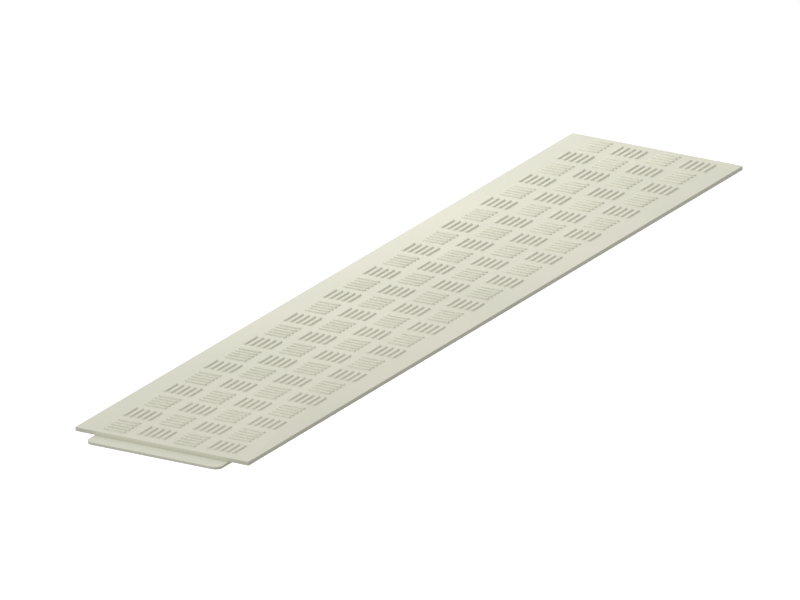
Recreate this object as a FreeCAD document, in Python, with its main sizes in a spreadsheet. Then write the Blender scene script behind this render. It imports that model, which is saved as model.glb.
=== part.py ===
"""A 2.4 m diving board: a moulded tread deck on a thin spring blade, stiffened by four hat-section ribs.

Frame: +Y runs from the butt end to the tip, +X across the board, +Z up. The origin is at the middle of
the underside, so the board rests on z = 0 with its anchor plate, fulcrum plate and tip bar.
Units are millimetres. Every size below is a cell of the spreadsheet "sizes".
"""
import FreeCAD, Part
import math
import os
import Sketcher

SIZES = {
    # tread deck: one moulded panel with five-bar tread groups that turn by 90 degrees from cell to cell
    "deck_length": 2400.0,
    "deck_width": 480.0,
    "deck_thickness": 10.5,
    "deck_corner": 3.0,
    "deck_edge_round": 1.0,
    "tread_pitch_across": 96.0,
    "tread_pitch_along": 95.0,
    "tread_side_margin": 50.0,
    "tread_end_margin": 20.0,
    "bar_length": 62.0,
    "bar_width": 9.0,
    "bar_height": 3.5,
    "bar_pitch": 17.0,
    "bar_draft": 14.0,
    # spring blade under the deck: its butt end stands out as a tongue
    "blade_width": 370.0,
    "blade_thickness": 7.0,
    "blade_corner": 20.0,
    "tongue_reach": 48.0,
    "blade_tip_setback": 40.0,
    # hat-section ribs under the blade, flanges up
    "rib_spacing": 100.0,
    "rib_width": 40.0,
    "rib_height": 30.0,
    "rib_wall": 2.5,
    "rib_flange": 18.0,
    "rib_bend": 4.0,
    "rib_butt_setback": 90.0,
    "rib_tip_setback": 70.0,
    # plugs that close the ribs' ends
    "plug_depth": 20.0,
    "plug_flange": 3.0,
    "plug_clearance": 0.3,
    # plates under the ribs: anchor plate, fulcrum cushion and wear plate, tip bar
    "foot_width": 340.0,
    "foot_thickness": 12.0,
    "foot_corner": 8.0,
    "anchor_from_butt": 195.0,
    "anchor_length": 150.0,
    "fulcrum_from_butt": 900.0,
    "fulcrum_length": 150.0,
    "wear_thickness": 3.0,
    "tip_bar_from_tip": 190.0,
    "tip_bar_length": 60.0,
    "foot_screw_inset": 25.0,
    # anchor bolts of the stand: tapped inserts in the anchor plate
    "anchor_bolt_across": 200.0,
    "anchor_bolt_along": 90.0,
    "insert_bore": 10.2,
    "insert_outer": 16.0,
    "insert_flange": 22.0,
    "insert_flange_depth": 2.0,
    # screws
    "deck_screw_shank": 4.8,
    "deck_screw_head": 9.0,
    "deck_screw_head_height": 3.0,
    "deck_screw_bite": 6.0,
    "deck_screw_rows": 8.0,
    "deck_screw_inset": 60.0,
    "foot_screw_shank": 6.0,
    "foot_screw_head": 12.0,
    "foot_screw_cone": 3.0,
    "foot_screw_spare": 1.5,
    "nut_across_flats": 10.0,
    "nut_height": 5.0,
    "screw_clearance": 0.15,
    "thread_clearance": 0.05,
}

document = FreeCAD.newDocument("diving_board")
sheet = document.addObject("Spreadsheet::Sheet", "sizes")
for row_number, (size_name, size_value) in enumerate(SIZES.items(), start=1):
    sheet.set("A%d" % row_number, size_name)
    sheet.set("B%d" % row_number, str(size_value))
    sheet.setAlias("B%d" % row_number, size_name)
document.recompute()


class Size:
    """A length as a number and as the spreadsheet formula that gives it."""

    def __init__(self, value, formula):
        self.value = float(value)
        self.formula = formula

    def _with(self, other, sign, result):
        other = as_size(other)
        return Size(result(self.value, other.value), "(%s %s %s)" % (self.formula, sign, other.formula))

    def __add__(self, other):
        return self._with(other, "+", lambda a, b: a + b)

    def __sub__(self, other):
        return self._with(other, "-", lambda a, b: a - b)

    def __mul__(self, other):
        return self._with(other, "*", lambda a, b: a * b)

    def __truediv__(self, other):
        return self._with(other, "/", lambda a, b: a / b)

    def __neg__(self):
        return as_size(0) - self

    def floor(self):
        return Size(math.floor(self.value), "floor(%s)" % self.formula)

    def ceil(self):
        return Size(math.ceil(self.value), "ceil(%s)" % self.formula)

    def at_least(self, least):
        return Size(max(self.value, least), "max(%s; %s)" % (self.formula, least))


def as_size(value):
    return value if isinstance(value, Size) else Size(value, repr(float(value)))


def size(name):
    return Size(sheet.get(name), "sizes." + name)


def bind(thing, prop, value):
    """Sets a property and ties it to the spreadsheet."""
    value = as_size(value)
    thing.setExpression(prop, value.formula)


# ---------------------------------------------------------------- places worked out from the sizes
board_length = size("deck_length") + size("tongue_reach")
tongue_end = -board_length / 2
deck_butt = tongue_end + size("tongue_reach")
deck_tip = deck_butt + size("deck_length")
deck_middle = (deck_butt + deck_tip) / 2
blade_tip = deck_tip - size("blade_tip_setback")
rib_butt = deck_butt + size("rib_butt_setback")
rib_tip = deck_tip - size("rib_tip_setback")
rib_length = rib_tip - rib_butt
rib_middle = (rib_butt + rib_tip) / 2
rib_floor = size("foot_thickness")
blade_floor = rib_floor + size("rib_height")
deck_floor = blade_floor + size("blade_thickness")
anchor_middle = deck_butt + size("anchor_from_butt")
fulcrum_middle = deck_butt + size("fulcrum_from_butt")
tip_bar_middle = deck_tip - size("tip_bar_from_tip")
RIBS = {"left_outer": -1.5, "left_inner": -0.5, "right_inner": 0.5, "right_outer": 1.5}


# ---------------------------------------------------------------- ways of making solids
def new_body(label, x, y, z):
    """A PartDesign body whose own origin lies at x, y, z of the board."""
    body = document.addObject("PartDesign::Body", label)
    body.Label = label
    body.AllowCompound = True
    for axis, value in zip("xyz", (x, y, z)):
        bind(body, ".Placement.Base." + axis, value)
    return body


def origin_part(body, role):
    return next(part for part in body.Origin.OriginFeatures if part.Role == role)


def new_sketch(body, name, plane="XY_Plane", height=0):
    """A sketch on one of the body's own planes; height lifts it along the plane's normal."""
    sketch = body.newObject("Sketcher::SketchObject", name)
    sketch.AttachmentSupport = [(origin_part(body, plane), "")]
    sketch.MapMode = "FlatFace"
    bind(sketch, ".AttachmentOffset.Base.z", height)
    return sketch


def place_point(sketch, geometry, point, x, y):
    """Fixes one point of the sketch at x, y from its origin."""
    for kind, value, axis in (("DistanceX", as_size(x), -2), ("DistanceY", as_size(y), -1)):
        if value.value == 0 and not value.formula.startswith("("):
            sketch.addConstraint(Sketcher.Constraint("PointOnObject", geometry, point, axis))
            continue
        number = sketch.addConstraint(Sketcher.Constraint(kind, -1, 1, geometry, point, value.value))
        bind(sketch, "Constraints[%d]" % number, value)


def add_polygon(sketch, corners):
    """A closed outline through corners, each an (x, y) pair of sizes."""
    points = [FreeCAD.Vector(as_size(x).value, as_size(y).value, 0) for x, y in corners]
    lines = []
    for start, end in zip(points, points[1:] + points[:1]):
        lines.append(sketch.addGeometry(Part.LineSegment(start, end), False))
    for line, following in zip(lines, lines[1:] + lines[:1]):
        sketch.addConstraint(Sketcher.Constraint("Coincident", line, 2, following, 1))
    for line, (x, y) in zip(lines, corners):
        place_point(sketch, line, 1, x, y)


def add_rectangle(sketch, left, right, bottom, top):
    add_polygon(sketch, [(left, bottom), (right, bottom), (right, top), (left, top)])


def add_circle(sketch, x, y, diameter):
    centre = FreeCAD.Vector(as_size(x).value, as_size(y).value, 0)
    radius = as_size(diameter) / 2
    circle = sketch.addGeometry(Part.Circle(centre, FreeCAD.Vector(0, 0, 1), radius.value), False)
    place_point(sketch, circle, 3, x, y)
    number = sketch.addConstraint(Sketcher.Constraint("Radius", circle, radius.value))
    bind(sketch, "Constraints[%d]" % number, radius)


def add_slot(sketch, x, y, length, width, lengthwise):
    """A straight slot outline with round ends, centred at x, y; lengthwise slots run along sketch Y."""
    radius = width / 2
    reach = (length - width) / 2
    step_x, step_y = (0, 1) if lengthwise else (1, 0)
    first = (x - reach * step_x, y - reach * step_y)
    second = (x + reach * step_x, y + reach * step_y)
    normal = FreeCAD.Vector(0, 0, 1)
    turn = math.pi / 2 if lengthwise else 0.0
    arcs = []
    for (centre_x, centre_y), start in ((first, turn + math.pi / 2), (second, turn - math.pi / 2)):
        circle = Part.Circle(FreeCAD.Vector(centre_x.value, centre_y.value, 0), normal, radius.value)
        arcs.append(sketch.addGeometry(Part.ArcOfCircle(circle, start, start + math.pi), False))
    ends = [(sketch.getPoint(arc, 1), sketch.getPoint(arc, 2)) for arc in arcs]
    below = sketch.addGeometry(Part.LineSegment(ends[0][1], ends[1][0]), False)
    above = sketch.addGeometry(Part.LineSegment(ends[1][1], ends[0][0]), False)
    for one, one_end, other, other_end in (
        (arcs[0], 2, below, 1), (below, 2, arcs[1], 1), (arcs[1], 2, above, 1), (above, 2, arcs[0], 1)):
        sketch.addConstraint(Sketcher.Constraint("Tangent", one, one_end, other, other_end))
    place_point(sketch, arcs[0], 3, *first)
    place_point(sketch, arcs[1], 3, *second)
    number = sketch.addConstraint(Sketcher.Constraint("Radius", arcs[0], radius.value))
    bind(sketch, "Constraints[%d]" % number, radius)


def pad(body, sketch, length, midplane=False, draft=None):
    feature = body.newObject("PartDesign::Pad", sketch.Name + "_pad")
    feature.Profile = sketch
    feature.Refine = False
    bind(feature, "Length", length)
    feature.Midplane = midplane
    if draft is not None:
        bind(feature, "TaperAngle", -draft)
    return feature


def pocket(body, sketch, depth, midplane=False):
    """Cuts along the sketch's normal, into a solid that lies above the sketch."""
    feature = body.newObject("PartDesign::Pocket", sketch.Name + "_pocket")
    feature.Profile = sketch
    feature.Refine = False
    bind(feature, "Length", depth)
    feature.Midplane = midplane
    feature.Reversed = not midplane
    return feature


def grid(body, feature, across, across_step, along, along_step):
    """Repeats a feature along the body's X and Y."""
    pattern = body.newObject("PartDesign::LinearPattern", feature.Name + "_grid")
    pattern.Originals = [feature]
    pattern.Refine = False
    pattern.Direction = (origin_part(body, "X_Axis"), [""])
    pattern.Direction2 = (origin_part(body, "Y_Axis"), [""])
    pattern.Mode = "Extent"
    pattern.Mode2 = "Extent"
    bind(pattern, "Occurrences", across)
    bind(pattern, "Occurrences2", along)
    bind(pattern, "Length", across_step * (across - 1).at_least(1))
    bind(pattern, "Length2", along_step * (along - 1).at_least(1))
    body.Tip = pattern
    return pattern


def round_edges(body, feature, radius, chosen):
    """Fillets the edges of a feature that chosen(edge) accepts."""
    document.recompute()
    names = ["Edge%d" % n for n, edge in enumerate(feature.Shape.Edges, start=1) if chosen(edge)]
    fillet = body.newObject("PartDesign::Fillet", feature.Name + "_round")
    fillet.Base = (feature, names)
    bind(fillet, "Radius", radius)
    body.Tip = fillet
    return fillet


def is_upright(edge):
    box = edge.BoundBox
    return box.ZLength > 0.5 and box.XLength < 1e-6 and box.YLength < 1e-6


def new_plate(label, y, z, width, length, thickness, corner):
    """A flat plate with round corners, centred across the board, lying on height z."""
    body = new_body(label, 0, y, z)
    outline = new_sketch(body, label + "_outline")
    add_rectangle(outline, -width / 2, width / 2, -length / 2, length / 2)
    slab = pad(body, outline, thickness)
    round_edges(body, slab, corner, is_upright)
    return body


def drill(body, name, x, y, diameter, depth, across, across_step, along, along_step, height=0):
    """A grid of round holes; x, y is the first hole and height where the drilling starts."""
    sketch = new_sketch(body, name, height=height)
    add_circle(sketch, x, y, diameter)
    grid(body, pocket(body, sketch, depth), across, across_step, along, along_step)


def turned_grid(label, x, y, z, profile, across, across_step, along, along_step):
    """Identical turned pieces on a grid; profile is the half outline as (radius, height) pairs."""
    body = new_body(label, x, y, z)
    sketch = new_sketch(body, label + "_profile", plane="XZ_Plane")
    add_polygon(sketch, profile)
    turned = body.newObject("PartDesign::Revolution", label + "_turned")
    turned.Profile = sketch
    turned.ReferenceAxis = (origin_part(body, "Z_Axis"), [""])
    turned.Angle = 360.0
    grid(body, turned, across, across_step, along, along_step)
    return body


# ---------------------------------------------------------------- grids that several pieces share
ribs_across = as_size(len(RIBS))
rib_step = size("rib_spacing")
first_rib = rib_step * min(RIBS.values())
deck_screw_step = (rib_length - size("deck_screw_inset") * 2) / (size("deck_screw_rows") - 1)
first_deck_screw = rib_butt + size("deck_screw_inset")
flange_line = (size("rib_width") + size("rib_flange")) / 2
flange_screws = as_size(2), flange_line * 2, size("deck_screw_rows"), deck_screw_step
plate_rows = as_size(2)
bar_rows = as_size(1)


def foot_screw_rows(length):
    """Distance between the two rows of screws in a plate under the ribs."""
    return length - size("foot_screw_inset") * 2


# ---------------------------------------------------------------- tread deck
def cells_that_fit(deck, margin, pitch):
    return ((deck - margin * 2 - size("bar_length")) / pitch).floor() + 1


def make_tread_deck():
    """The moulded panel: a flat slab, drafted tread bars on top and blind pilot holes below."""
    body = new_plate("tread_deck", deck_middle, deck_floor, size("deck_width"), size("deck_length"),
                     size("deck_thickness"), size("deck_corner"))
    top = size("deck_thickness")
    round_edges(body, body.Tip, size("deck_edge_round"),
                lambda edge: edge.BoundBox.ZMin > top.value - 0.01)
    for rib, place in RIBS.items():
        drill(body, "pilots_" + rib, rib_step * place - flange_line, first_deck_screw - deck_middle,
              size("deck_screw_shank") + size("thread_clearance") * 2,
              size("deck_screw_bite") + size("screw_clearance"), *flange_screws)
    columns = cells_that_fit(size("deck_width"), size("tread_side_margin"), size("tread_pitch_across"))
    rows = cells_that_fit(size("deck_length"), size("tread_end_margin"), size("tread_pitch_along"))
    first_x = -size("tread_pitch_across") * (columns - 1) / 2
    first_y = -size("tread_pitch_along") * (rows - 1) / 2
    for column in (0, 1):
        for row in (0, 1):
            lengthwise = column != row
            x = first_x + size("tread_pitch_across") * column
            y = first_y + size("tread_pitch_along") * row
            bars = new_sketch(body, "tread_%d_%d" % (column, row), height=top)
            for n in (-2, -1, 0, 1, 2):
                shift = size("bar_pitch") * n
                across, along = (shift, as_size(0)) if lengthwise else (as_size(0), shift)
                add_slot(bars, x + across, y + along, size("bar_length"), size("bar_width"), lengthwise)
            group = pad(body, bars, size("bar_height"), draft=size("bar_draft"))
            many_across = (columns / 2).floor() if column else (columns / 2).ceil()
            many_along = (rows / 2).floor() if row else (rows / 2).ceil()
            grid(body, group, many_across, size("tread_pitch_across") * 2,
                 many_along, size("tread_pitch_along") * 2)
    return body


# ---------------------------------------------------------------- spring blade
def make_spring_blade():
    """The thin blade that carries the deck; it ends in the butt tongue and stops short of the tip."""
    middle = (tongue_end + blade_tip) / 2
    body = new_plate("spring_blade", middle, blade_floor, size("blade_width"), blade_tip - tongue_end,
                     size("blade_thickness"), size("blade_corner"))
    for rib, place in RIBS.items():
        drill(body, "blade_holes_" + rib, rib_step * place - flange_line, first_deck_screw - middle,
              size("deck_screw_shank") + size("screw_clearance") * 2, size("blade_thickness"),
              *flange_screws)
    return body


# ---------------------------------------------------------------- ribs, their screws and end plugs
def rib_screw_rows(x):
    """The foot screws that pass through a rib's crown: name, first y, rows, step."""
    return (
        ("anchor", anchor_middle - foot_screw_rows(size("anchor_length")) / 2, plate_rows,
         foot_screw_rows(size("anchor_length"))),
        ("fulcrum", fulcrum_middle - foot_screw_rows(size("fulcrum_length")) / 2, plate_rows,
         foot_screw_rows(size("fulcrum_length"))),
        ("tip", tip_bar_middle, bar_rows, as_size(1)),
    )


def make_rib(name, place):
    """A folded hat section with its crown down: side walls, crown and two flanges under the blade."""
    label = "rib_" + name
    body = new_body(label, rib_step * place, rib_middle, rib_floor)
    width, height, wall = size("rib_width"), size("rib_height"), size("rib_wall")
    crown = new_sketch(body, label + "_crown", plane="XZ_Plane")
    add_rectangle(crown, -width / 2, width / 2, as_size(0), height)
    block = pad(body, crown, rib_length, midplane=True)
    round_edges(body, block, size("rib_bend"),
                lambda edge: edge.BoundBox.YLength > 1 and edge.BoundBox.ZMax < 0.01)
    flanges = new_sketch(body, label + "_flanges", plane="XZ_Plane")
    edge = width / 2 + size("rib_flange")
    add_rectangle(flanges, -edge, edge, height - wall, height)
    pad(body, flanges, rib_length, midplane=True)
    hollow = new_sketch(body, label + "_hollow", plane="XZ_Plane")
    add_rectangle(hollow, wall - width / 2, width / 2 - wall, wall, height)
    channel = pocket(body, hollow, rib_length, midplane=True)
    round_edges(body, channel, size("rib_bend") - wall,
                lambda edge: edge.BoundBox.YLength > 1 and abs(edge.BoundBox.ZMax - wall.value) < 0.01
                and edge.BoundBox.ZLength < 0.01 and abs(edge.BoundBox.XMax) < width.value / 2)
    drill(body, label + "_flange_holes", -flange_line, first_deck_screw - rib_middle,
          size("deck_screw_shank") + size("screw_clearance") * 2, wall, *flange_screws,
          height=height - wall)
    for foot, first_y, rows, step in rib_screw_rows(name):
        drill(body, label + "_%s_holes" % foot, as_size(0), first_y - rib_middle,
              size("foot_screw_shank") + size("screw_clearance") * 2, wall,
              as_size(1), as_size(1), rows, step)
    return body


def make_deck_screws(name, place):
    """Pan-head screws from below: through the rib's flange and the blade into the deck."""
    shank, head = size("deck_screw_shank") / 2, size("deck_screw_head") / 2
    head_height = size("deck_screw_head_height")
    tip = head_height + size("rib_wall") + size("blade_thickness") + size("deck_screw_bite")
    profile = [(as_size(0), as_size(0)), (head * 0.8, as_size(0)), (head, head_height * 0.4),
               (head, head_height), (shank, head_height), (shank, tip), (as_size(0), tip)]
    return turned_grid("deck_screws_" + name, rib_step * place - flange_line, first_deck_screw,
                       blade_floor - size("rib_wall") - head_height, profile, *flange_screws)


def make_end_plug(end, name, place):
    """A moulded plug: a block inside the rib and a flange against its cut end."""
    label = "%s_plug_%s" % (end, name)
    inward = 1 if end == "butt" else -1
    y = rib_butt if end == "butt" else rib_tip
    gap, wall = size("plug_clearance"), size("rib_wall")
    half = size("rib_width") / 2
    body = new_body(label, rib_step * place, y, rib_floor)
    block = new_sketch(body, label + "_block", plane="XZ_Plane")
    block_side = half - wall - gap
    chamfer = size("rib_bend") - wall
    bottom, top = wall + gap, size("rib_height") - gap
    add_polygon(block, [(chamfer - block_side, bottom), (block_side - chamfer, bottom),
                        (block_side, bottom + chamfer), (block_side, top), (-block_side, top),
                        (-block_side, bottom + chamfer)])
    inside = pad(body, block, size("plug_depth"))
    inside.Reversed = inward > 0
    flange = new_sketch(body, label + "_flange", plane="XZ_Plane")
    slope = size("rib_bend")
    add_polygon(flange, [(slope - half, as_size(0)), (half - slope, as_size(0)), (half, slope),
                         (half, top), (-half, top), (-half, slope)])
    outside = pad(body, flange, size("plug_flange"))
    outside.Reversed = inward < 0
    return body


# ---------------------------------------------------------------- plates under the ribs
def countersink(body, name, first_y, rows, step, height=0):
    """Holes with a cone at the underside for flat-head screws, one column under each rib."""
    hole = size("foot_screw_shank") + size("screw_clearance") * 2
    head = size("foot_screw_head") + size("screw_clearance") * 2
    deep = size("foot_screw_cone")
    profile = new_sketch(body, name + "_cone", plane="XZ_Plane", height=-first_y)
    add_polygon(profile, [(first_rib, as_size(0)), (first_rib + head / 2, as_size(0)),
                          (first_rib + hole / 2, deep), (first_rib, deep)])
    axis_line = new_sketch(body, name + "_axis", plane="XZ_Plane", height=-first_y)
    axis_line.addGeometry(Part.LineSegment(FreeCAD.Vector(first_rib.value, 0, 0),
                                           FreeCAD.Vector(first_rib.value, deep.value, 0)), False)
    place_point(axis_line, 0, 1, first_rib, as_size(0))
    place_point(axis_line, 0, 2, first_rib, deep)
    cone = body.newObject("PartDesign::Groove", name + "_groove")
    cone.Profile = profile
    cone.ReferenceAxis = (axis_line, ["Edge1"])
    cone.Angle = 360.0
    grid(body, cone, ribs_across, rib_step, rows, step)


def screw_holes(body, name, first_y, rows, step, depth):
    drill(body, name, first_rib, first_y, size("foot_screw_shank") + size("screw_clearance") * 2, depth,
          ribs_across, rib_step, rows, step)


def make_anchor_plate():
    """The thick plate that the stand bolts to: four seats for tapped inserts, screwed to every rib."""
    step = foot_screw_rows(size("anchor_length"))
    body = new_plate("anchor_plate", anchor_middle, as_size(0), size("foot_width"),
                     size("anchor_length"), size("foot_thickness"), size("foot_corner"))
    screw_holes(body, "anchor_screw_holes", -step / 2, plate_rows, step, size("foot_thickness"))
    countersink(body, "anchor_countersinks", -step / 2, plate_rows, step)
    across, along = size("anchor_bolt_across"), size("anchor_bolt_along")
    bolts = plate_rows, across, plate_rows, along
    drill(body, "insert_seats", -across / 2, -along / 2,
          size("insert_outer") + size("screw_clearance") * 2, size("foot_thickness"), *bolts)
    drill(body, "insert_flange_seats", -across / 2, -along / 2,
          size("insert_flange") + size("screw_clearance") * 2,
          size("insert_flange_depth"), *bolts, height=size("foot_thickness") - size("insert_flange_depth"))
    return body


def make_anchor_inserts():
    """Flanged steel inserts, dropped in from above so that the stand's bolts pull them tight."""
    bore, outer, flange = size("insert_bore") / 2, size("insert_outer") / 2, size("insert_flange") / 2
    top = size("foot_thickness")
    under = top - size("insert_flange_depth")
    profile = [(bore, as_size(0)), (outer, as_size(0)), (outer, under), (flange, under),
               (flange, top), (bore, top)]
    across, along = size("anchor_bolt_across"), size("anchor_bolt_along")
    return turned_grid("anchor_inserts", -across / 2, anchor_middle - along / 2, as_size(0), profile,
                       plate_rows, across, plate_rows, along)


def make_fulcrum_plates():
    """The rubber cushion and the steel wear plate that roll on the stand's fulcrum."""
    step = foot_screw_rows(size("fulcrum_length"))
    cushion_thickness = size("foot_thickness") - size("wear_thickness")
    wear = new_plate("fulcrum_wear_plate", fulcrum_middle, as_size(0), size("foot_width"),
                     size("fulcrum_length"), size("wear_thickness"), size("foot_corner"))
    countersink(wear, "wear_countersinks", -step / 2, plate_rows, step)
    cushion = new_plate("fulcrum_cushion", fulcrum_middle, size("wear_thickness"), size("foot_width"),
                        size("fulcrum_length"), cushion_thickness, size("foot_corner"))
    screw_holes(cushion, "cushion_screw_holes", -step / 2, plate_rows, step, cushion_thickness)
    return wear, cushion


def make_tip_bar():
    body = new_plate("tip_cross_bar", tip_bar_middle, as_size(0), size("foot_width"),
                     size("tip_bar_length"), size("foot_thickness"), size("foot_corner"))
    screw_holes(body, "tip_bar_screw_holes", as_size(0), bar_rows, as_size(1), size("foot_thickness"))
    countersink(body, "tip_bar_countersinks", as_size(0), bar_rows, as_size(1))
    return body


def make_foot_screws(foot, first_y, rows, step):
    """Flat-head screws, flush with the underside, up through a rib's crown into its nut."""
    shank, head = size("foot_screw_shank") / 2, size("foot_screw_head") / 2
    tip = size("foot_thickness") + size("rib_wall") + size("nut_height") + size("foot_screw_spare")
    cone = size("foot_screw_cone")
    profile = [(as_size(0), as_size(0)), (head, as_size(0)), (shank, cone), (shank, tip),
               (as_size(0), tip)]
    return turned_grid(foot + "_screws", first_rib, first_y, as_size(0), profile,
                       ribs_across, rib_step, rows, step)


def make_foot_nuts(foot, first_y, rows, step):
    """Hexagon nuts on the inner face of each rib's crown."""
    body = new_body(foot + "_nuts", first_rib, first_y, rib_floor + size("rib_wall"))
    hexagon = new_sketch(body, foot + "_nut_outline")
    corner = size("nut_across_flats") / (2 * math.cos(math.pi / 6))
    add_polygon(hexagon, [(corner * math.cos(math.radians(angle)), corner * math.sin(math.radians(angle)))
                          for angle in range(15, 375, 60)])
    add_circle(hexagon, as_size(0), as_size(0),
               size("foot_screw_shank") + size("thread_clearance") * 2)
    grid(body, pad(body, hexagon, size("nut_height")), ribs_across, rib_step, rows, step)
    return body


# ---------------------------------------------------------------- the whole board
def make_board():
    pieces = [make_tread_deck(), make_spring_blade(), make_anchor_plate(), make_anchor_inserts(),
              *make_fulcrum_plates(), make_tip_bar()]
    for name, place in RIBS.items():
        pieces.append(make_rib(name, place))
        pieces.append(make_deck_screws(name, place))
        for end in ("butt", "tip"):
            pieces.append(make_end_plug(end, name, place))
    for foot, first_y, rows, step in rib_screw_rows("all"):
        pieces.append(make_foot_screws(foot, first_y, rows, step))
        pieces.append(make_foot_nuts(foot, first_y, rows, step))
    return pieces


def write_parts(pieces):
    """Checks the document and writes one STEP file for each piece."""
    document.recompute()
    failed = [thing.Name for thing in document.Objects if {"Invalid", "Error"} & set(thing.State)]
    if failed:
        raise RuntimeError("these objects did not build: %s" % failed)
    os.makedirs("parts", exist_ok=True)
    for piece in pieces:
        shape = piece.Shape
        if shape.isNull() or not shape.isValid() or not shape.Solids:
            raise RuntimeError("%s is not a valid solid" % piece.Label)
        shape.exportStep("parts/%s.step" % piece.Label)
        print("%-28s %3d solids %12.1f mm3" % (piece.Label, len(shape.Solids), shape.Volume))


write_parts(make_board())
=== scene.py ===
import math

import bmesh
import bpy
from mathutils import Matrix, Vector


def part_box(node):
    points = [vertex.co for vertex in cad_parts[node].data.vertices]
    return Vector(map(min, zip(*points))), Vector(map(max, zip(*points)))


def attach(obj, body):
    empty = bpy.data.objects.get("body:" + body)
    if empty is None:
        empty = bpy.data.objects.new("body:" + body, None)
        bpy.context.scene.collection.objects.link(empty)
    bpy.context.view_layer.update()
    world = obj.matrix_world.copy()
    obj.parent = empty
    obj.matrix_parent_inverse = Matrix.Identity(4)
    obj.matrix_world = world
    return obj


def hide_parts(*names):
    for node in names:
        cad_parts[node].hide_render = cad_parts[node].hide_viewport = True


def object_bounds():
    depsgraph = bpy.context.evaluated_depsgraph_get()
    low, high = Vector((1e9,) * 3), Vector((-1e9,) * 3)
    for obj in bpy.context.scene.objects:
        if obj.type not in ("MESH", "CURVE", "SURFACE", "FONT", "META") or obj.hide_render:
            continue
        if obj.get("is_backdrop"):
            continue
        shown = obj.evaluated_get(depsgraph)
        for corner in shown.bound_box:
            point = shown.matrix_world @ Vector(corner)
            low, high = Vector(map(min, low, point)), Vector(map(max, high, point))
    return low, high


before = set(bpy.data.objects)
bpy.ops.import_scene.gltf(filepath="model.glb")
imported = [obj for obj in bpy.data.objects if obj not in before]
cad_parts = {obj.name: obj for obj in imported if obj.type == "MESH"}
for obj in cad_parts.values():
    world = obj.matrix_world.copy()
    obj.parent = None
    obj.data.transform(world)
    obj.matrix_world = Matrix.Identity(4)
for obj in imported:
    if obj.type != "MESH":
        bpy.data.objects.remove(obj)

cad_low, cad_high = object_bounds()


# ------------------------------------------------------------------------------------------------
# Tread deck. One glass-fibre panel laid up in a polished mould: the slab and its raised bars are a
# single skin of pale ivory gel coat. Bars stand in groups of five, and each group is turned by a
# quarter against its neighbours. It is screwed down from below, so nothing breaks the top.
# ------------------------------------------------------------------------------------------------
deck_low, deck_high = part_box("tread_deck")
bar_height = 0.0035
deck_top = deck_high.z - bar_height
deck_corner, deck_top_edge, deck_foot_edge = 0.003, 0.0010, 0.0005
columns, rows = 4, 25
pitch_across, pitch_along = 0.096, 0.095
bars_in_group, bar_pitch, bar_length, bar_sides = 5, 0.017, 0.062, 16
touching = 1e-6  # two heights closer than this are the same

# Half width of a bar and height above the slab, from the root fillet over the flank to the crest.
bar_section = ((0.0048, -0.0003), (0.0045, 0.0002), (0.0043, 0.0005), (0.0038, 0.0029),
               (0.0036, 0.0033), (0.0031, bar_height))


def build_up(mesh, face, steps):
    """Raises a face in steps, each a distance inward and a distance outward."""
    for inward, outward in steps:
        bmesh.ops.inset_region(mesh, faces=[face], thickness=inward, depth=outward,
                               use_even_offset=True, use_boundary=True)


def box_mesh(mesh, low, high):
    """A plain block between two corners."""
    size, middle = high - low, (high + low) / 2
    place = Matrix.Translation(middle) @ Matrix.Diagonal((*size, 1.0))
    bmesh.ops.create_cube(mesh, size=1.0, matrix=place)


def run_of(edge):
    """The way an edge runs, as a unit vector."""
    return (edge.verts[0].co - edge.verts[1].co).normalized()


def upright(edge):
    return abs(run_of(edge).z) > 0.9


def level(edge):
    return abs(run_of(edge).z) < 0.1


def round_off(mesh, edges, radius, segments):
    """Rounds edges with a quarter circle of the given radius."""
    bmesh.ops.bevel(mesh, geom=edges, offset=radius, segments=segments, profile=0.5,
                    affect="EDGES", material=-1, clamp_overlap=True)


def make_piece(name, mesh, sharp_angle=35.0, flat_area=2e-4):
    """Turns a bmesh into an object: curved stretches are smooth, wide flats stay flat."""
    bmesh.ops.recalc_face_normals(mesh, faces=mesh.faces)
    for face in mesh.faces:
        face.smooth = face.calc_area() < flat_area
    data = bpy.data.meshes.new(name)
    mesh.to_mesh(data)
    mesh.free()
    data.set_sharp_from_angle(angle=math.radians(sharp_angle))
    piece = bpy.data.objects.new(name, data)
    bpy.context.scene.collection.objects.link(piece)
    return piece


def fit(piece, material, node):
    """The piece takes its finish, stands in for its CAD node and rides with the board."""
    piece.data.materials.append(material)
    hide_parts(node)
    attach(piece, "root")


class Value:
    """A socket of a material, so that shader maths reads as an expression."""

    def __init__(self, finish, socket):
        self.finish, self.socket = finish, socket

    def _maths(self, operation, *values):
        return self.finish.node("Math", {"operation": operation}, dict(enumerate(values)))

    def __add__(self, other):
        return self._maths("ADD", self, other)

    def __sub__(self, other):
        return self._maths("SUBTRACT", self, other)

    def __rsub__(self, other):
        return self._maths("SUBTRACT", other, self)

    def __mul__(self, other):
        return self._maths("MULTIPLY", self, other)

    def smooth_step(self, start, end):
        """0 before start, 1 after end, and a soft rise between them."""
        return self.finish.node("MapRange", {"interpolation_type": "SMOOTHSTEP"},
                                {"Value": self, "From Min": start, "From Max": end})

    __radd__, __rmul__ = __add__, __mul__


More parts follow.
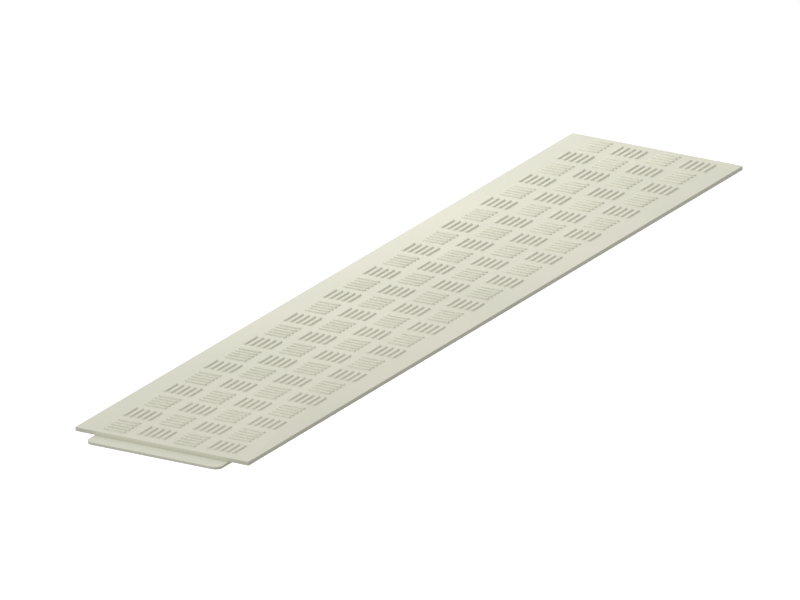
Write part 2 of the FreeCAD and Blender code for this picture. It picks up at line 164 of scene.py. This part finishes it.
class Finish:
    """A material, or the surround, and its nodes."""

    def __init__(self, name, shelf=bpy.data.materials):
        self.data = shelf.new(name)
        self.data.use_nodes = True
        self.tree = self.data.node_tree
        self.tree.nodes.clear()

    def node(self, kind, settings, sockets, output=0):
        """Adds a node: its settings first, then the values or links of its sockets."""
        made = self.tree.nodes.new("ShaderNode" + kind)
        for name, setting in settings.items():
            setattr(made, name, setting)
        for key, value in sockets.items():
            socket = made.inputs[key]
            if isinstance(value, Value):
                self.tree.links.new(value.socket, socket)
            else:
                socket.default_value = value
        return Value(self, made.outputs[output]) if made.outputs else None

    def place(self):
        return self.node("TexCoord", {}, {}, "Object")

    def stretched(self, across, along, up):
        """Object coordinates scaled on each axis, for grain that runs one way."""
        return self.node("Mapping", {}, {"Vector": self.place(), "Scale": (across, along, up)})

    def height(self):
        return self.node("SeparateXYZ", {}, {"Vector": self.place()}, "Z")

    def noise(self, where, scale, detail=3.0, roughness=0.5):
        return self.node("TexNoise", {}, {"Vector": where, "Scale": scale, "Detail": detail,
                                          "Roughness": roughness}, "Fac")

    def waves(self, along, sockets):
        """Bands that follow one another along an axis."""
        return self.node("TexWave", {"wave_type": "BANDS", "bands_direction": along},
                         {"Vector": self.place(), **sockets}, "Fac")

    def blend(self, amount, first, second):
        """From one colour to another; sockets 6 and 7 are the node's two colours, 2 its result."""
        return self.node("Mix", {"data_type": "RGBA"}, {0: amount, 6: first, 7: second}, 2)

    def bump(self, relief, depth, under=None):
        """A relief of the given depth in metres, on top of another one if there is one."""
        sockets = {"Height": relief, "Distance": depth, "Strength": 1.0}
        if under is not None:
            sockets["Normal"] = under
        return self.node("Bump", {}, sockets, "Normal")

    def surface(self, **inputs):
        """Closes the material with its shader; an input's name has _ for a space."""
        named = {name.replace("_", " "): value for name, value in inputs.items()}
        shader = self.node("BsdfPrincipled", {}, named)
        self.node("OutputMaterial", {}, {"Surface": shader})
        return self.data


def gel_coat():
    """Ivory gel coat: cloudy by a shade, with painted shade round the bars' roots, rubbed brighter on
    the crests.
    """
    finish = Finish("ivory_gel_coat")
    dull_ivory, clear_ivory = (0.610, 0.606, 0.505, 1), (0.645, 0.634, 0.530, 1)
    fleck, rubbed_ivory = (0.52, 0.515, 0.43, 1), (0.68, 0.67, 0.565, 1)
    # Painted shade: a dark colour laid in a band round the bars' roots, at the heights on the next
    # line, where the bars shade the slab.
    painted_root_shade = (0.33, 0.33, 0.25, 1)
    shade_starts, shade_ends, crest = (0.0001, 0.0004), (0.0006, 0.0018), (0.0030, 0.0034)
    place = finish.place()
    height = finish.height()

    def above(rise):
        """0 below the first of two heights over the slab and 1 above the second."""
        return height.smooth_step(deck_top + rise[0], deck_top + rise[1])

    cloud = finish.noise(place, 2.2, 4.0).smooth_step(0.35, 0.68)
    speckle = finish.noise(place, 420.0, 2.0)
    ivory = finish.blend(cloud, dull_ivory, clear_ivory)
    fine = finish.blend(speckle * 0.16, ivory, fleck)
    root = above(shade_starts) * (1.0 - above(shade_ends))
    # Painted shade in a band round each bar's root, broken up by noise; the same mask also makes the
    # gel coat rougher there.
    root_shade = root * finish.noise(place, 34.0, 5.0, 0.6).smooth_step(0.36, 0.62)
    root_shaded = finish.blend(root_shade * 0.55, fine, painted_root_shade)
    rubbed = above(crest) * finish.noise(place, 60.0, 4.0, 0.6).smooth_step(0.42, 0.60)
    colour = finish.blend(rubbed * 0.3, root_shaded, rubbed_ivory)
    sheen = finish.noise(place, 9.0, 5.0, 0.6) * 0.16 + 0.44 - rubbed * 0.10 + root_shade * 0.22
    grain = finish.bump(finish.noise(place, 900.0, 2.0, 0.6), 0.00006)
    ripple = finish.bump(finish.noise(place, 16.0, 2.0), 0.0004, grain)
    return finish.surface(Base_Color=colour, Roughness=sheen, Normal=ripple, Coat_Weight=0.08,
                          Coat_Roughness=0.25, IOR=1.5)


def make_deck():
    """The slab with its soft edges, and the groups of bars laid out on top of it."""
    mesh = bmesh.new()
    box_mesh(mesh, deck_low, Vector((deck_high.x, deck_high.y, deck_top)))
    round_off(mesh, [edge for edge in mesh.edges if upright(edge)], deck_corner, 4)
    top = [edge for edge in mesh.edges if level(edge)
           and min(v.co.z for v in edge.verts) > deck_top - touching]
    round_off(mesh, top, deck_top_edge, 3)
    bottom = [edge for edge in mesh.edges if level(edge)
              and max(v.co.z for v in edge.verts) < deck_low.z + touching]
    round_off(mesh, bottom, deck_foot_edge, 2)

    group = bmesh.new()
    (half_width, foot), *rest = bar_section
    steps = [(a[0] - b[0], b[1] - a[1]) for a, b in zip(bar_section, rest)]
    for number in range(bars_in_group):
        bar = bmesh.ops.create_circle(group, cap_ends=True, segments=bar_sides,
                                      radius=half_width)["verts"]
        bmesh.ops.rotate(group, verts=bar, matrix=Matrix.Rotation(math.pi / bar_sides, 3, "Z"))
        reach = bar_length / 2 - half_width
        for vertex in bar:
            vertex.co.y += math.copysign(reach, vertex.co.y)
        bmesh.ops.translate(group, verts=bar,
                            vec=(bar_pitch * (number - (bars_in_group - 1) / 2), 0, foot))
        build_up(group, bar[0].link_faces[0], steps)
    bmesh.ops.holes_fill(group, edges=group.edges, sides=0)
    bars_along = bpy.data.meshes.new("tread_group")
    group.to_mesh(bars_along)
    bmesh.ops.rotate(group, verts=group.verts, matrix=Matrix.Rotation(math.pi / 2, 3, "Z"))
    bars_across = bpy.data.meshes.new("tread_group_turned")
    group.to_mesh(bars_across)
    group.free()

    middle = (deck_low + deck_high) / 2
    for column in range(columns):
        for row in range(rows):
            placed = (bars_across if (column + row) % 2 == 0 else bars_along).copy()
            placed.transform(Matrix.Translation((
                middle.x + pitch_across * (column - (columns - 1) / 2),
                middle.y + pitch_along * (row - (rows - 1) / 2), deck_top)))
            mesh.from_mesh(placed)
            bpy.data.meshes.remove(placed)
    for data in (bars_along, bars_across):
        bpy.data.meshes.remove(data)
    return make_piece("deck_moulding", mesh, 50.0)


fit(make_deck(), gel_coat(), "tread_deck")


# ------------------------------------------------------------------------------------------------
# Spring blade. A thin, long laminate under the deck that does the bending. Its butt end stands out
# in front of the deck as a tongue with round corners. Woven glass shows faintly through the resin.
# ------------------------------------------------------------------------------------------------
blade_corner, blade_edge = 0.020, 0.0007


def slab(name, low, high, corner, soft_edge):
    """A flat plate with round corners and softened edges."""
    mesh = bmesh.new()
    box_mesh(mesh, low, high)
    round_off(mesh, [edge for edge in mesh.edges if upright(edge)], corner, 8)
    round_off(mesh, [edge for edge in mesh.edges if level(edge)], soft_edge, 3)
    return make_piece(name, mesh)


def laminate():
    """Ivory resin, cloudy by a shade, over a cloth whose strands cross along and across the board."""
    finish = Finish("ivory_laminate")
    dull_resin, clear_resin = (0.585, 0.586, 0.490, 1), (0.620, 0.618, 0.518, 1)
    glass = (0.68, 0.675, 0.57, 1)
    place = finish.place()
    strands = {"Scale": 62.0, "Distortion": 0.6}
    weave = finish.waves("X", strands) * finish.waves("Y", strands)
    cloud = finish.noise(place, 3.0, 4.0).smooth_step(0.35, 0.7)
    resin = finish.blend(cloud, dull_resin, clear_resin)
    colour = finish.blend(weave * 0.10, resin, glass)
    sheen = finish.noise(place, 12.0, 4.0, 0.6) * 0.18 + 0.42
    return finish.surface(Base_Color=colour, Roughness=sheen, Coat_Weight=0.10, Coat_Roughness=0.2,
                          Normal=finish.bump(weave, 0.00005))


blade_low, blade_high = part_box("spring_blade")
fit(slab("blade_laminate", blade_low, blade_high, blade_corner, blade_edge), laminate(),
    "spring_blade")


# ------------------------------------------------------------------------------------------------
# Ribs. Four hat sections folded from 2.5 mm aluminium sheet and powder coated. Their flanges lie
# against the blade and their crowns face down, where the plates below are screwed on.
# ------------------------------------------------------------------------------------------------
rib_names = ("left_outer", "left_inner", "right_inner", "right_outer")
rib_wall, rib_bend, rib_width = 0.0025, 0.004, 0.040


def powder_coat():
    """Ivory powder with a fine orange peel, and darker scuffs that run along the board."""
    finish = Finish("ivory_powder_coat")
    dull_powder, clear_powder = (0.595, 0.590, 0.49, 1), (0.635, 0.628, 0.525, 1)
    scuffed = (0.40, 0.39, 0.33, 1)
    place = finish.place()
    peel = finish.noise(place, 260.0, 2.0)
    mottle = finish.noise(place, 7.0, 4.0).smooth_step(0.3, 0.7)
    colour = finish.blend(mottle, dull_powder, clear_powder)
    scuffs = finish.noise(finish.stretched(30, 4, 30), 6.0, 6.0, 0.65).smooth_step(0.66, 0.74)
    worn = finish.blend(scuffs * 0.5, colour, scuffed)
    return finish.surface(Base_Color=worn, Roughness=scuffs * 0.2 + 0.38,
                          Normal=finish.bump(peel, 0.00008))


def lengthwise(edge):
    return abs(run_of(edge).y) > 0.9


def folded_rib(name, low, high):
    """The outer face as a chain of folds, drawn out along the board and given its sheet thickness."""
    mesh = bmesh.new()
    middle, half = (low.x + high.x) / 2, rib_width / 2
    flange = high.z - rib_wall
    line = [(low.x, flange), (middle - half, flange), (middle - half, low.z),
            (middle + half, low.z), (middle + half, flange), (high.x, flange)]
    corners = [mesh.verts.new((x, low.y, z)) for x, z in line]
    folds = [mesh.edges.new(pair) for pair in zip(corners, corners[1:])]
    drawn = bmesh.ops.extrude_edge_only(mesh, edges=folds)["geom"]
    far_end = [part for part in drawn if isinstance(part, bmesh.types.BMVert)]
    bmesh.ops.translate(mesh, verts=far_end, vec=(0, high.y - low.y, 0))
    bends = [edge for edge in mesh.edges if lengthwise(edge) and len(edge.link_faces) == 2]
    round_off(mesh, bends, rib_bend, 5)
    bmesh.ops.recalc_face_normals(mesh, faces=mesh.faces)
    crown = min(mesh.faces, key=lambda face: face.calc_center_median().z)
    if crown.normal.z > 0:
        bmesh.ops.reverse_faces(mesh, faces=mesh.faces)
    bmesh.ops.solidify(mesh, geom=mesh.faces[:], thickness=rib_wall)
    return make_piece(name, mesh, 40.0, 1e-3)


coat = powder_coat()
for rib in rib_names:
    rib_low, rib_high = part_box("rib_" + rib)
    fit(folded_rib("folded_rib_" + rib, rib_low, rib_high), coat, "rib_" + rib)


# ------------------------------------------------------------------------------------------------
# Deck screws. Stainless pan-head screws with a hexagon socket, two rows to a rib. Each goes up
# through flange and blade into a blind pilot hole in the deck's underside.
# ------------------------------------------------------------------------------------------------
screw_rows = 8
screw_head, screw_head_height, screw_shank = 0.0090, 0.0030, 0.0048
dome_shoulder, dome_crown = 0.00025, 0.0007
pan_socket, pan_socket_depth = 0.0030, 0.0014
hair = 0.00002  # the least step inward that keeps a wall clear of the face it rises from


def stainless():
    """Turned stainless steel, a little smeared and uneven in tone."""
    finish = Finish("stainless_steel")
    dull_steel, bright_steel = (0.55, 0.55, 0.53, 1), (0.64, 0.64, 0.62, 1)
    place = finish.place()
    smear = finish.noise(place, 180.0, 4.0, 0.6)
    tone = finish.noise(place, 25.0, 3.0).smooth_step(0.3, 0.7)
    colour = finish.blend(tone, dull_steel, bright_steel)
    return finish.surface(Base_Color=colour, Metallic=1.0, Roughness=smear * 0.22 + 0.22,
                          Normal=finish.bump(smear, 0.00002))


def round_blank(mesh, centre, below, above, height):
    """A short round blank, given by its two diameters; returns its lower and its upper face."""
    blank = bmesh.ops.create_cone(mesh, cap_ends=True, segments=24, radius1=below / 2,
                                  radius2=above / 2, depth=height, matrix=Matrix.Translation(centre))
    faces = {face for vertex in blank["verts"] for face in vertex.link_faces}
    return sorted((face for face in faces if len(face.verts) > 4),
                  key=lambda face: face.calc_center_median().z)


def socket_in(mesh, face, centre, width, depth):
    """Sinks a hexagon socket with a hollow floor into a round face that looks down."""
    ring = (max((v.co.xy - centre.xy).length for v in face.verts) - width / math.sqrt(3)) * 0.98
    build_up(mesh, face, [(ring, 0.0)])
    for vertex in face.verts:
        spoke = vertex.co.xy - centre.xy
        turn = math.atan2(spoke.y, spoke.x) % (math.pi / 3) - math.pi / 6
        spoke *= width / 2 / math.cos(turn) / spoke.length
        vertex.co.xy = centre.xy + spoke
    build_up(mesh, face, [(hair, -depth), (width * 0.2, -width * 0.1)])


def pan_head_screw(mesh, centre, tip):
    """One screw; centre is the middle of the head's seat, tip the height of its point."""
    dome = screw_head_height * 0.25
    bottom, seat = round_blank(mesh, centre - Vector((0, 0, dome)), screw_head, screw_head,
                               screw_head_height * 0.5)
    build_up(mesh, seat, [((screw_head - screw_shank) / 2, 0.0), (hair, tip - centre.z)])
    build_up(mesh, bottom, [(dome_shoulder, dome), (dome_crown, dome)])
    socket_in(mesh, bottom, centre, pan_socket, pan_socket_depth)


steel = stainless()
for rib in rib_names:
    low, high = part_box("deck_screws_" + rib)
    mesh = bmesh.new()
    for x in (low.x + screw_head / 2, high.x - screw_head / 2):
        for row in range(screw_rows):
            y = low.y + screw_head / 2 + (high.y - low.y - screw_head) * row / (screw_rows - 1)
            pan_head_screw(mesh, Vector((x, y, low.z + screw_head_height)), high.z)
    fit(make_piece("pan_head_screws_" + rib, mesh), steel, "deck_screws_" + rib)


# ------------------------------------------------------------------------------------------------
# End plugs. Dark nylon mouldings pressed into both ends of every rib: a block inside the section
# and a flange over the cut edge, with a shallow panel in its face.
# ------------------------------------------------------------------------------------------------
plug_flange, plug_play, plug_top_step = 0.003, 0.0003, 0.00005
panel_border, panel_slope, panel_depth = 0.0036, 0.0005, 0.0008


def nylon():
    """Near-black nylon with a spark-eroded grain, faded in patches."""
    finish = Finish("dark_nylon")
    fresh_nylon, faded_nylon = (0.030, 0.030, 0.031, 1), (0.048, 0.048, 0.049, 1)
    place = finish.place()
    grain = finish.noise(place, 500.0, 3.0, 0.6)
    fade = finish.noise(place, 20.0, 3.0).smooth_step(0.35, 0.7)
    colour = finish.blend(fade, fresh_nylon, faded_nylon)
    return finish.surface(Base_Color=colour, Roughness=grain * 0.2 + 0.48,
                          Normal=finish.bump(grain, 0.00006))


def end_plug(name, low, high, outward):
    """The flange with its sunk panel, and the block drawn out of the flange's other side."""
    mesh = bmesh.new()
    half_way = (low.z + high.z) / 2
    flange_low, flange_high = low.copy(), high.copy()
    if outward > 0:
        flange_low.y = high.y - plug_flange
    else:
        flange_high.y = low.y + plug_flange
    box_mesh(mesh, flange_low, flange_high)
    crown_edges = [edge for edge in mesh.edges if lengthwise(edge) and edge.verts[0].co.z < half_way]
    round_off(mesh, crown_edges, rib_bend, 4)
    front = max(mesh.faces, key=lambda face: face.normal.y * outward)
    build_up(mesh, front, [(panel_border, 0.0), (panel_slope, -panel_depth)])
    back = min(mesh.faces, key=lambda face: face.normal.y * outward)
    build_up(mesh, back, [(rib_wall + plug_play, 0.0)])
    for vertex in back.verts:
        if vertex.co.z > half_way:
            vertex.co.z = high.z - plug_top_step
    build_up(mesh, back, [(hair, high.y - low.y - plug_flange)])
    return make_piece(name, mesh)


plastic = nylon()
for rib in rib_names:
    for end, outward in (("butt", -1), ("tip", 1)):
        node = "%s_plug_%s" % (end, rib)
        fit(end_plug("moulded_" + node, *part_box(node), outward), plastic, node)


# ------------------------------------------------------------------------------------------------
# Anchor plate. A 12 mm aluminium plate that the stand bolts to. It is screwed to all four ribs with
# countersunk screws and holds four steel inserts. Mill finish, rolled along the board.
# ------------------------------------------------------------------------------------------------
foot_corner, plate_edge = 0.008, 0.0008
foot_hole, foot_head, foot_cone = 0.0063, 0.0123, 0.003
foot_inset = 0.025
slack = 1e-5  # a wall shorter than this is no wall
insert_across, insert_along, insert_seat = 0.200, 0.090, 0.0163
rib_x = [(low.x + high.x) / 2 for low, high in (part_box("rib_" + rib) for rib in rib_names)]


def drilled_plate(name, low, high, holes, soft_edge):
    """A plate with holes through it; each is (x, y, width below, width above, depth of the cone)."""
    mesh = bmesh.new()
    box_mesh(mesh, low, high)
    round_off(mesh, [edge for edge in mesh.edges if upright(edge)], foot_corner, 8)
    bmesh.ops.delete(mesh, geom=[face for face in mesh.faces if abs(face.normal.z) > 0.9],
                     context="FACES_ONLY")
    outline = {z: [edge for edge in mesh.edges
                   if all(abs(vertex.co.z - z) < touching for vertex in edge.verts)]
               for z in (low.z, high.z)}
    for x, y, below, above, cone in holes:
        rings, reached = [], -math.inf
        for width, z in ((below, low.z), (above, low.z + cone), (above, high.z)):
            if z - reached < slack:
                continue
            ring = bmesh.ops.create_circle(mesh, cap_ends=False, segments=24, radius=width / 2,
                                           matrix=Matrix.Translation((x, y, z)))["verts"]
            rings.append(list(dict.fromkeys(edge for vertex in ring for edge in vertex.link_edges)))
            reached = z
        for lower, upper in zip(rings, rings[1:]):
            bmesh.ops.bridge_loops(mesh, edges=lower + upper)
        outline[low.z] += rings[0]
        outline[high.z] += rings[-1]
    for edges in outline.values():
        bmesh.ops.triangle_fill(mesh, use_beauty=True, edges=edges, normal=(0, 0, 1))
    bmesh.ops.recalc_face_normals(mesh, faces=mesh.faces)

    def outermost(vertex):
        ends = foot_corner * 1.01
        return (vertex.co.x < low.x + ends or vertex.co.x > high.x - ends
                or vertex.co.y < low.y + slack or vertex.co.y > high.y - slack)

    rim = [edge for edge in mesh.edges if len(edge.link_faces) == 2
           and edge.calc_face_angle(0) > 1.0 and all(outermost(vertex) for vertex in edge.verts)
           and abs(edge.verts[0].co.z - edge.verts[1].co.z) < touching]
    round_off(mesh, rim, soft_edge, 2)
    return make_piece(name, mesh)


def countersunk_rows(low, high, row_count):
    """Countersunk holes under every rib, in one or two rows."""
    middle = (low.y + high.y) / 2
    reach = (high.y - low.y) / 2 - foot_inset if row_count == 2 else 0.0
    return [(x, y, foot_head, foot_hole, foot_cone) for x in rib_x
            for y in sorted({middle - reach, middle + reach})]


def mill_aluminium():
    """Rolled aluminium with lines along the board and a dull bloom in patches."""
    finish = Finish("mill_aluminium")
    dull_metal, bright_metal = (0.42, 0.43, 0.44, 1), (0.56, 0.57, 0.58, 1)
    oxide = (0.36, 0.37, 0.37, 1)
    rolled = finish.noise(finish.stretched(420, 9, 420), 1.0, 5.0, 0.6)
    bloom = finish.noise(finish.place(), 14.0, 5.0, 0.6).smooth_step(0.4, 0.7)
    colour = finish.blend(bloom * 0.35, finish.blend(rolled, dull_metal, bright_metal), oxide)
    sheen = rolled * 0.14 + 0.30 + bloom * 0.16
    return finish.surface(Base_Color=colour, Metallic=1.0, Roughness=sheen,
                          Normal=finish.bump(rolled, 0.00002))


aluminium = mill_aluminium()
low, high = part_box("anchor_plate")
anchor_middle = (low + high) / 2
insert_places = [(anchor_middle.x + insert_across * i / 2, anchor_middle.y + insert_along * j / 2)
                 for i in (-1, 1) for j in (-1, 1)]
anchor_holes = countersunk_rows(low, high, 2)
anchor_holes += [(x, y, insert_seat, insert_seat, 0.0) for x, y in insert_places]
fit(drilled_plate("drilled_anchor_plate", low, high, anchor_holes, plate_edge), aluminium,
    "anchor_plate")


# ------------------------------------------------------------------------------------------------
# Anchor inserts. Turned stainless bushes with an M12 thread, dropped into the plate from above so
# that the bolts of the stand pull their flanges tight.
# ------------------------------------------------------------------------------------------------
thread_pitch, thread_depth, thread_start, thread_margin = 0.00175, 0.0009, 0.0008, 0.001
bore_radius, mouth_radius, outer_radius, flange_radius = 0.0051, 0.0061, 0.008, 0.011
flange_thickness, flange_chamfer, foot_chamfer = 0.002, 0.0004, 0.0005
insert_low, insert_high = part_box("anchor_inserts")
foot, top = insert_low.z, insert_high.z
turns = int((top - foot - thread_margin) / thread_pitch)
thread = [(bore_radius + thread_depth * (half % 2), foot + thread_start + thread_pitch * half / 2)
          for half in range(2 * turns + 1)]
outline = [(mouth_radius, foot)] + thread + [
    (mouth_radius, top), (flange_radius - flange_chamfer, top),
    (flange_radius, top - flange_chamfer), (flange_radius, top - flange_thickness),
    (outer_radius, top - flange_thickness), (outer_radius, foot + foot_chamfer),
    (outer_radius - foot_chamfer, foot)]
mesh = bmesh.new()
for x, y in insert_places:
    chain = [mesh.verts.new((x + radius, y, z)) for radius, z in outline]
    edges = [mesh.edges.new(pair) for pair in zip(chain, chain[1:] + chain[:1])]
    bmesh.ops.spin(mesh, geom=chain + edges, cent=(x, y, 0), axis=(0, 0, 1), angle=math.tau, steps=32,
                   use_merge=True)
fit(make_piece("threaded_inserts", mesh), steel, "anchor_inserts")


# ------------------------------------------------------------------------------------------------
# Fulcrum cushion and wear plate. Black rubber sheet takes the knocks, and a brushed stainless sheet
# under it rolls on the fulcrum, which leaves dull tracks across it.
# ------------------------------------------------------------------------------------------------
cushion_edge, sheet_edge = 0.0008, 0.0005


def rubber():
    """Black rubber, chalky in patches."""
    finish = Finish("black_rubber")
    black, chalky = (0.016, 0.016, 0.016, 1), (0.050, 0.048, 0.045, 1)
    place = finish.place()
    grain = finish.noise(place, 700.0, 3.0, 0.6)
    chalk = finish.noise(place, 18.0, 5.0, 0.6).smooth_step(0.45, 0.75)
    colour = finish.blend(chalk * 0.5, black, chalky)
    return finish.surface(Base_Color=colour, Roughness=grain * 0.15 + 0.62 + chalk * 0.12,
                          Normal=finish.bump(grain, 0.0001))


def brushed_sheet():
    """Stainless sheet brushed across the board, dulled where the fulcrum has rolled."""
    finish = Finish("brushed_sheet")
    dull_line, bright_line = (0.40, 0.40, 0.385, 1), (0.52, 0.52, 0.50, 1)
    rolled_grey = (0.26, 0.26, 0.25, 1)
    brushed = finish.noise(finish.stretched(12, 700, 700), 1.0, 4.0, 0.6)
    track = finish.waves("Y", {"Scale": 4.2, "Distortion": 2.5, "Detail": 3.0,
                               "Detail Scale": 3.0}).smooth_step(0.62, 0.95)
    colour = finish.blend(brushed, dull_line, bright_line)
    dulled = finish.blend(track * 0.45, colour, rolled_grey)
    sheen = brushed * 0.12 + 0.24 + track * 0.2
    return finish.surface(Base_Color=dulled, Metallic=1.0, Roughness=sheen,
                          Normal=finish.bump(brushed, 0.00002))


low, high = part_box("fulcrum_cushion")
fit(slab("rubber_cushion", low, high, foot_corner, cushion_edge), rubber(), "fulcrum_cushion")
low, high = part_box("fulcrum_wear_plate")
fit(drilled_plate("brushed_wear_plate", low, high, countersunk_rows(low, high, 2), sheet_edge),
    brushed_sheet(), "fulcrum_wear_plate")


# ------------------------------------------------------------------------------------------------
# Tip bar. A flat bar of the same aluminium as the anchor plate, with one countersunk screw to each
# rib. It ties the four ribs together near the tip.
# ------------------------------------------------------------------------------------------------
low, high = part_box("tip_cross_bar")
fit(drilled_plate("drilled_tip_bar", low, high, countersunk_rows(low, high, 1), plate_edge),
    aluminium, "tip_cross_bar")


# ------------------------------------------------------------------------------------------------
# Foot screws and nuts. Flat-head socket screws lie flush in the plates' undersides and reach a nut
# inside each rib. The nuts are closed in by the plugs, so they keep their plain shape.
# ------------------------------------------------------------------------------------------------
flat_head, flat_shank = 0.012, 0.006
flat_socket, flat_socket_depth = 0.004, 0.0020


def flat_head_screw(mesh, x, y, low, tip):
    """One screw; low is the height of its flat face, tip that of its point."""
    bottom, neck = round_blank(mesh, (x, y, low + foot_cone / 2), flat_head, flat_shank, foot_cone)
    build_up(mesh, neck, [(hair, tip - low - foot_cone)])
    socket_in(mesh, bottom, Vector((x, y, low)), flat_socket, flat_socket_depth)


for foot, plate in (("anchor", "anchor_plate"), ("fulcrum", "fulcrum_wear_plate"),
                    ("tip", "tip_cross_bar")):
    low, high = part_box(plate)
    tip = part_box(foot + "_screws")[1].z
    mesh = bmesh.new()
    for x, y, *_ in countersunk_rows(low, high, 1 if foot == "tip" else 2):
        flat_head_screw(mesh, x, y, low.z, tip)
    fit(make_piece("flat_head_screws_" + foot, mesh), steel, foot + "_screws")
    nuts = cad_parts[foot + "_nuts"]
    nuts.data.materials.clear()
    nuts.data.materials.append(steel)


# ------------------------------------------------------------------------------------------------
# Studio. A plain pale floor well below the board, a large soft key light from the left in front, a
# strip lamp along the far left, one lamp below for the underside, and a pale surround. The lens is
# very long, so that the board's edges stay almost parallel.
# ------------------------------------------------------------------------------------------------
floor_reach, floor_drop = 60.0, 0.9
white, off_white, pale_grey = (1, 1, 1, 1), (1.0, 1.0, 0.99, 1), (0.93, 0.93, 0.93, 1)


def matt_floor():
    """Matt and pale from above; clear from below, so that the board's underside can be looked at."""
    finish = Finish("pale_floor")
    matt = finish.node("BsdfPrincipled", {}, {"Base Color": pale_grey, "Roughness": 0.9,
                                              "Emission Color": white, "Emission Strength": 0.25})
    clear = finish.node("BsdfTransparent", {}, {})
    underneath = finish.node("NewGeometry", {}, {}, "Backfacing")
    either = finish.node("MixShader", {}, {0: underneath, 1: matt, 2: clear})
    finish.node("OutputMaterial", {}, {"Surface": either})
    return finish.data


def pale_surround():
    """A pale ceiling over a dimmer lower half; seen directly it is white all round, like the floor."""
    finish = Finish("pale_surround", bpy.data.worlds)
    ways = finish.node("TexCoord", {}, {}, "Generated")
    upward = finish.node("SeparateXYZ", {}, {"Vector": ways}, "Z")
    shade = finish.node("MapRange", {}, {"Value": upward, "From Min": -0.15, "From Max": 0.25,
                                         "To Min": 0.10, "To Max": 0.82})
    seen = finish.node("LightPath", {}, {}, "Is Camera Ray")
    strength = finish.node("Math", {"operation": "MAXIMUM"}, {0: seen, 1: shade})
    glow = finish.node("Background", {}, {"Color": off_white, "Strength": strength})
    finish.node("OutputWorld", {}, {"Surface": glow})
    return finish.data


def soft_light(name, over, towards, distance, width, depth, watts):
    """A flat lamp that looks at the point of the board over which it stands, from a given way."""
    lamp = bpy.data.lights.new(name, "AREA")
    lamp.shape, lamp.size, lamp.size_y, lamp.energy = "RECTANGLE", width, depth, watts
    light = bpy.data.objects.new(name, lamp)
    bpy.context.scene.collection.objects.link(light)
    way = Vector(towards).normalized()
    light.location = Vector(over) + way * distance
    light.rotation_euler = way.to_track_quat("Z", "Y").to_euler()
    return light


mesh = bmesh.new()
bmesh.ops.create_grid(mesh, x_segments=1, y_segments=1, size=floor_reach,
                      matrix=Matrix.Translation((0, 0, cad_low.z - floor_drop)))
floor = make_piece("floor", mesh)
floor.data.materials.append(matt_floor())
floor.visible_diffuse = floor.visible_shadow = False
floor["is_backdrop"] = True
bpy.context.scene.world = pale_surround()

soft_light("key", over=(0, 0, 0), towards=(-0.45, -1.1, 0.8), distance=40.0,
           width=12.0, depth=12.0, watts=3800.0)
side = soft_light("side", over=(0, 0.9, deck_top), towards=(-1.0, 0.0, 0.8), distance=1.7,
                  width=2.2, depth=0.5, watts=18.0)
side.visible_glossy = False
under = soft_light("under", over=(0, 0, 0), towards=(0.0, 0.0, -1.0), distance=40.0,
                   width=8.0, depth=8.0, watts=6000.0)
under.visible_camera = False

azimuth, elevation = math.radians(29.98), math.radians(20.06)
camera_distance, lens_length, film_width = 67.1, 1250.0, 36.0
back = Vector((math.sin(azimuth) * math.cos(elevation), -math.cos(azimuth) * math.cos(elevation),
               math.sin(elevation)))
aim = Vector((-0.0156, -0.0130, deck_top - 0.005))
lens = bpy.data.cameras.new("long_lens")
lens.lens, lens.sensor_width = lens_length, film_width
lens.clip_start, lens.clip_end = 1.0, 200.0
camera = bpy.data.objects.new("camera", lens)
camera.location = aim + back * camera_distance
camera.rotation_mode = "QUATERNION"
camera.rotation_quaternion = back.to_track_quat("Z", "Y")
bpy.context.scene.collection.objects.link(camera)
bpy.context.scene.camera = camera
bpy.context.scene.view_settings.view_transform = "Standard"

low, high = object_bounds()
